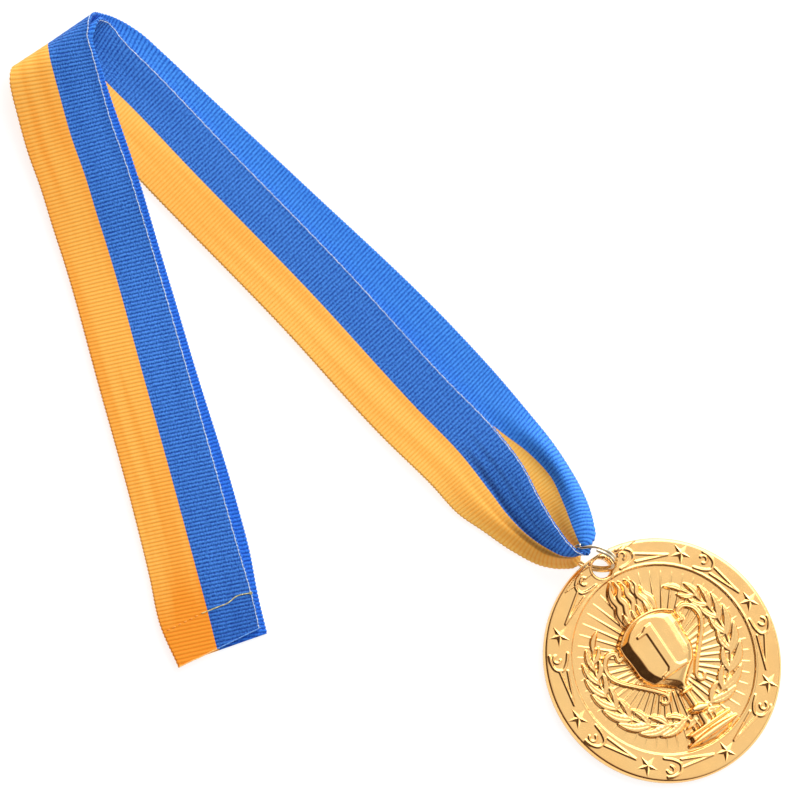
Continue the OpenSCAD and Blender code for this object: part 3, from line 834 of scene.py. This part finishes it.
def raise_wreath(z, x, y):
    """Two mirrored branches. Each leaf grows from its branch's stem and bends away from it."""
    for side, sign in ((list, 1), (mirrored, -1)):
        stem = smooth_path(side([polar(r, a) for a, r in STEM]))
        raise_line(z, x, y, stem, FIELD_Z, 0.45, [0.45, 0.3])
        for row, bow in ((OUTER_TIPS, -0.1), (INNER_TIPS, 0.1)):
            for a, r, long, half in row:
                back = a - long
                foot, tip = side([polar(np.interp(back, *zip(*STEM)), back), polar(r, a)])
                raise_leaf(z, x, y, foot, tip, half, LEAF_H, sign * bow)


def raise_cup(z, x, y):
    """The cup with its rim, foot and numeral."""
    level, half, share = np.array(CUP_ROWS).T
    order = np.argsort(level)
    w = np.interp(y, level[order], half[order])
    top = np.interp(y, level[order], share[order]) * CUP_H
    depth = w - np.abs(x)
    shape = np.where(x < 0, np.interp(depth, *zip(*CUP_LEFT)), np.interp(depth, *zip(*CUP_RIGHT)))
    inside = (y > level.min()) & (y < level.max()) & (depth > 0)
    z[:] = np.where(inside, np.maximum(z, FIELD_Z + top * shape), z)
    raise_line(z, x, y, smooth_path(CUP_RIM), FIELD_Z + CUP_RIM_BASE, CUP_RIM_H, [0.35, 0.5, 0.35])
    raise_plate(z, x, y, SKIRT, FIELD_Z, SKIRT_H, 1.2)
    for path, height, widths in FOOT_BARS:
        raise_line(z, x, y, path, FIELD_Z, height, widths)
    raise_plate(z, x, y, NUMERAL, FIELD_Z + CUP_H, NUMERAL_H, 0.35)


def raise_flame(z, x, y):
    for points, width, height in TONGUES + TONGUE_FEET:
        path = smooth_path(points)
        raise_line(z, x, y, path, FIELD_Z, height, [width * 0.7, width, width, width * 0.7, 0.15], 0.1)


def raise_border(z, x, y):
    """A hook, loop and dart beside each of four places on one side, and their mirror images."""
    for place in range(4):
        angle = 90 - 45 * place
        centre = np.array(polar(HOOK_AT[0], angle + HOOK_AT[1]))
        hook = [centre + polar(HOOK_R, angle + 60 - a) for a in range(0, 241, 30)]
        loop = smooth_path([polar(r, angle + a) for r, a in LOOP])
        dart = [polar(r, angle + a) for r, a in DART]
        for line, width in ((hook, 0.35), (loop, 0.38), (dart[:2], 0.3), (dart[1:], 0.3)):
            for path in (line, mirrored(line)):
                raise_line(z, x, y, path, BORDER_T, LINE_H, [width, width])


def raise_hole_rim(z, x, y):
    """A low lip round the hole, which slopes down into it."""
    d = np.hypot(x, y - HOLE_R)
    lip = BORDER_T + HOLE_LIP * smoothstep(3.7, 3.2, d)
    z[:] = np.where(d < HOLE_D / 2 + 1.1, np.maximum(z, lip), z)
    slope = BORDER_T + HOLE_LIP - 0.6 * smoothstep(3.1, HOLE_D / 2, d)
    z[:] = np.where(d < 3.1, np.minimum(z, slope), z)


def medal_heights(x, y):
    """Height of the whole relief, rounded off at the rim."""
    r = np.hypot(x, y)
    z = FIELD_Z + FIELD_DROP * smoothstep(BORDER_R, BORDER_R + 0.35, r)
    raise_rays(z, x, y)
    raise_line(z, x, y, [polar(BORDER_R + 0.3, a) for a in range(0, 361, 6)], BORDER_T, 0.12, [0.35, 0.35])
    raise_wreath(z, x, y)
    for side in (list, mirrored):
        raise_line(z, x, y, smooth_path(side(HANDLE)), FIELD_Z, HANDLE_H, HANDLE_WIDTHS, 0.3)
    raise_flame(z, x, y)
    raise_cup(z, x, y)
    raise_border(z, x, y)
    raise_hole_rim(z, x, y)
    out = np.clip((r - MEDAL_R) / RIM_ROUND + 1, 0, 1)
    return z - RIM_ROUND * (1 - np.sqrt(1 - out ** 2))


def medal_grid():
    """The top of the medal as squares, whose outer and inner edges are drawn onto the rim and the hole."""
    count = math.ceil(MEDAL_R * 2 / MEDAL_CELL) + 2
    line = (np.arange(count) - (count - 1) / 2) * MEDAL_CELL
    x, y = np.meshgrid(line, line, indexing="ij")
    cx, cy = (line[:-1] + line[1:])[:, None] / 2, (line[:-1] + line[1:])[None, :] / 2
    edge_r, hole_r = MEDAL_R - 0.15, HOLE_D / 2
    keep = (np.hypot(cx, cy) < edge_r) & (np.hypot(cx, cy - HOLE_R) > hole_r)
    i, j = np.nonzero(keep)
    number = np.arange(count * count).reshape(count, count)
    faces = np.stack([number[i, j], number[i + 1, j], number[i + 1, j + 1], number[i, j + 1]], axis=1)
    uses = np.bincount(faces.ravel(), minlength=count * count)
    x, y = x.ravel(), y.ravel()
    on_edge = (uses > 0) & (uses < 4)
    from_hole = np.hypot(x, y - HOLE_R)
    hole_edge = on_edge & (from_hole < hole_r + 1)
    outer_edge = on_edge & ~hole_edge
    x[hole_edge] *= hole_r / from_hole[hole_edge]
    y[hole_edge] = HOLE_R + (y[hole_edge] - HOLE_R) * hole_r / from_hole[hole_edge]
    r = np.hypot(x[outer_edge], y[outer_edge])
    x[outer_edge] *= edge_r / r
    y[outer_edge] *= edge_r / r
    used = uses > 0
    renumber = np.cumsum(used) - 1
    return x[used], y[used], renumber[faces], hole_edge[used], outer_edge[used]


def add_wall(verts, faces, loop, profile, centre):
    """Wall from a loop of points through one ring for each radius and height. Returns the last ring."""
    for radius, height in profile:
        start = len(verts)
        for k in loop:
            a = math.atan2(verts[k][1] - centre[1], verts[k][0] - centre[0])
            verts.append([centre[0] + radius * math.cos(a), centre[1] + radius * math.sin(a), height])
        ring = list(range(start, start + len(loop)))
        for k in range(len(loop)):
            following = (k + 1) % len(loop)
            faces.append((loop[k], ring[k], ring[following], loop[following]))
        loop = ring
    return loop


def sorted_loop(marked, x, y, centre):
    index = np.flatnonzero(marked)
    return list(index[np.argsort(np.arctan2(y[index] - centre[1], x[index] - centre[0]))])


def medal_to_layout(points):
    """From the medal's own frame to the layout, turned and lying on its far edge and on the ring's wire."""
    p = np.asarray(points, float) + [0, MEDAL_R, 0]
    lift, turn = math.radians(MEDAL_LIFT), math.radians(MEDAL_TURN)
    x = p[:, 0]
    y = p[:, 1] * math.cos(lift) - p[:, 2] * math.sin(lift) - MEDAL_R
    z = p[:, 1] * math.sin(lift) + p[:, 2] * math.cos(lift)
    turned_x = x * math.cos(turn) - y * math.sin(turn)
    turned_y = x * math.sin(turn) + y * math.cos(turn)
    return MEDAL_AT + np.stack([turned_x, turned_y, z], axis=1)


def close_back(work, hole, outer, recess):
    """Flat back between the rim, the hole and the recess."""
    edges = []
    for loop in (hole, outer, recess):
        for a, b in zip(loop, loop[1:] + loop[:1]):
            a, b = work.verts[a], work.verts[b]
            edges.append(work.edges.get((a, b)) or work.edges.new((a, b)))
    bmesh.ops.triangle_fill(work, edges=edges, use_beauty=True)


def add_stars(verts, faces):
    """Seven faceted stars on the border, as closed solids sunk a little into it."""
    sunk = BORDER_T - 0.2
    for place in range(1, 8):
        x0, y0 = polar(HOLE_R, 90 + 45 * place)
        rim = [polar(STAR_R if i % 2 == 0 else STAR_R * STAR_WAIST, 90 + 36 * i) for i in range(10)]
        low = len(verts)
        high = low + 10
        verts += [[x0 + px, y0 + py, sunk] for px, py in rim]
        verts += [[x0 + px, y0 + py, BORDER_T + 0.08] for px, py in rim]
        verts += [[x0, y0, sunk], [x0, y0, BORDER_T + STAR_H]]
        for i in range(10):
            j = (i + 1) % 10
            faces.append((high + 10, low + j, low + i))
            faces.append((low + i, low + j, high + j, high + i))
            faces.append((high + 11, high + i, high + j))


def medal_mesh():
    """Points and faces of the medal, how many faces come before the stars, and the loops round its back."""
    x, y, top, hole_edge, outer_edge = medal_grid()
    near = MEDAL_CELL / 4
    around = [medal_heights(x + dx, y + dy) for dx in (-near, near) for dy in (-near, near)]
    verts = np.stack([x, y, np.mean(around, axis=0)], axis=1).tolist()
    faces = [tuple(f) for f in top.tolist()]
    hole = sorted_loop(hole_edge, x, y, (0, HOLE_R))
    outer = sorted_loop(outer_edge, x, y, (0, 0))
    hole = add_wall(verts, faces, hole[::-1], HOLE_WALL, (0, HOLE_R))
    outer = add_wall(verts, faces, outer, RIM_WALL, (0, 0))
    recess = list(range(len(verts), len(verts) + RECESS_SIDES))
    verts += [[*polar(RECESS_R + RECESS_H, a * 360 / RECESS_SIDES), 0] for a in range(RECESS_SIDES)]
    floor = add_wall(verts, faces, recess, [[RECESS_R, RECESS_H]], (0, 0))
    faces.append(tuple(floor))
    smooth_count = len(faces)
    add_stars(verts, faces)
    return verts, faces, smooth_count, (hole, outer, recess)


def make_medal():
    verts, faces, smooth_count, loops = medal_mesh()
    medal = mesh_piece("relief_medal", medal_to_layout(verts), faces)
    work = bmesh.new()
    work.from_mesh(medal.data)
    work.verts.ensure_lookup_table()
    work.faces.ensure_lookup_table()
    for face in work.faces[smooth_count:]:
        face.smooth = False
    close_back(work, *loops)
    bmesh.ops.recalc_face_normals(work, faces=work.faces)
    work.to_mesh(medal.data)
    work.free()
    medal.data.materials.append(GOLD)
    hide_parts("medal")


# Split ring
def make_ring():
    total = 720 - 2 * CUT_HALF
    pitch = WIRE_D + 0.05
    path = []
    for a in np.linspace(0, total, 300):
        across = -pitch * float(smoothstep(360 - 2 * CUT_HALF, 360, a))
        path.append(on_ring(CUT_START - a, RING_R, across))
    ring = tubes("wire_split_ring", [path], WIRE_D / 2, 16, WIRE)
    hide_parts("split_ring")


# Floor, light and camera
def make_floor():
    bpy.ops.mesh.primitive_plane_add(size=6)
    floor = bpy.context.object
    floor.name = "floor"
    paper = material("floor_white", (0.3, 0.3, 0.3), 0.9)
    shader = paper.node_tree.nodes["Principled BSDF"]
    shader.inputs["Emission Color"].default_value = (1, 1, 1, 1)
    shader.inputs["Emission Strength"].default_value = 0.8
    floor.data.materials.append(paper)


def make_world():
    """Soft light from above, brighter low down all round, with a dark part of the room on the near side."""
    world = bpy.data.worlds.new("studio")
    bpy.context.scene.world = world
    world.use_nodes = True
    tree = world.node_tree
    place = tree.nodes.new("ShaderNodeTexCoord")
    split = tree.nodes.new("ShaderNodeSeparateXYZ")
    tree.links.new(place.outputs["Generated"], split.inputs[0])
    y, z = split.outputs["Y"], split.outputs["Z"]
    front = math_node(tree, "MULTIPLY", y, -1)
    near = math_node(tree, "SUBTRACT", front, math_node(tree, "MULTIPLY", z, 0.9))
    darkening = ramp_node(tree, near, -0.8, 0, 1, 0.08)
    nearest = ramp_node(tree, near, 0.5, 0.85, 0, 0.55)
    open_side = math_node(tree, "ADD", darkening, nearest)
    low_down = ramp_node(tree, z, 0.18, 0.4, 1.9, 0.62)
    overhead = ramp_node(tree, z, 0.62, 0.82, 0, 0.3)
    level = math_node(tree, "ADD", low_down, overhead)
    background = tree.nodes["Background"]
    tree.links.new(math_node(tree, "MULTIPLY", open_side, level), background.inputs["Strength"])
    tree.links.new(mix_colours(tree, open_side, (1, 0.6, 0.4), (1, 1, 1)), background.inputs["Color"])


def make_light(name, place, aim, size, power):
    data = bpy.data.lights.new(name, "AREA")
    data.size = size
    data.energy = power
    lamp = bpy.data.objects.new(name, data)
    bpy.context.scene.collection.objects.link(lamp)
    lamp.location = place
    lamp.rotation_mode = "QUATERNION"
    lamp.rotation_quaternion = (Vector(aim) - Vector(place)).to_track_quat("-Z", "Y")
    return lamp


def make_camera():
    rise, roll = math.radians(CAMERA_RISE), math.radians(CAMERA_ROLL)
    back = Vector((0, -math.cos(rise), math.sin(rise)))
    level, steep = Vector((1, 0, 0)), Vector((0, math.sin(rise), math.cos(rise)))
    right = math.cos(roll) * level + math.sin(roll) * steep
    up = math.cos(roll) * steep - math.sin(roll) * level
    data = bpy.data.cameras.new("camera")
    data.sensor_width = 36
    data.lens = 36 * CAMERA_AT / PHOTO_WIDTH
    data.clip_end = 20
    camera = bpy.data.objects.new("camera", data)
    bpy.context.scene.collection.objects.link(camera)
    place = Matrix((right, up, back)).transposed().to_4x4()
    place.translation = Vector(-MIDDLE * MM) + back * CAMERA_AT
    camera.matrix_world = place
    bpy.context.scene.camera = camera


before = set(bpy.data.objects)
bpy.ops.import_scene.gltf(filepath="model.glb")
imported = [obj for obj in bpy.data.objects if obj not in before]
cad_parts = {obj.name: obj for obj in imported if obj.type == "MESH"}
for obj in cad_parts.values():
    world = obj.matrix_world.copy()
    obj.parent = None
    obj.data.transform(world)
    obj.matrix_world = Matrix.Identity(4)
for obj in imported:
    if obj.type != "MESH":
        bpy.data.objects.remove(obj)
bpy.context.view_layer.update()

# Materials in use
cloths = [cloth_material(name, *look) for name, look in CLOTH_LOOKS.items()]
THREAD = yarn_material("thread", (0.4, 0.55, 0.8), (0.85, 0.92, 1))
OLIVE = yarn_material("stitch_thread", (0.4, 0.35, 0.1), (0.75, 0.68, 0.32))
ORANGE_THREAD = yarn_material("orange_thread", (0.8, 0.25, 0.02), (1, 0.42, 0.05))
PALE_BLUE = yarn_material("pale_blue_yarn", (0.04, 0.2, 0.7), (0.15, 0.4, 0.9))
PALE_YELLOW = yarn_material("pale_yellow_yarn", (1, 0.45, 0.08), (1, 0.62, 0.22))
WIRE = metal_material("wire", (0.66, 0.55, 0.36), (0.8, 0.72, 0.54), 0.1, 0.18, 0.01)
GOLD = metal_material("gold", (1, 0.6, 0.225), (1, 0.63, 0.25), 0.14, 0.22, 0.012)

ribbon, cloth, cloth_normal, cloth_at = make_ribbon(cloths)
yarns = [make_thread(cloth, cloth_normal, cloth_at), *make_stitches(), *make_cut_edge(cloth, cloth_normal)]
make_ring()
make_medal()

make_floor()
make_world()
make_light("key", (-0.7, 1.5, 1.0), (0, 0, 0), 2.2, 42)
make_light("top", (0, 0, 2.0), (0, 0, 0), 1.5, 3).visible_glossy = False
make_camera()
bpy.context.scene.view_settings.view_transform = "Standard"
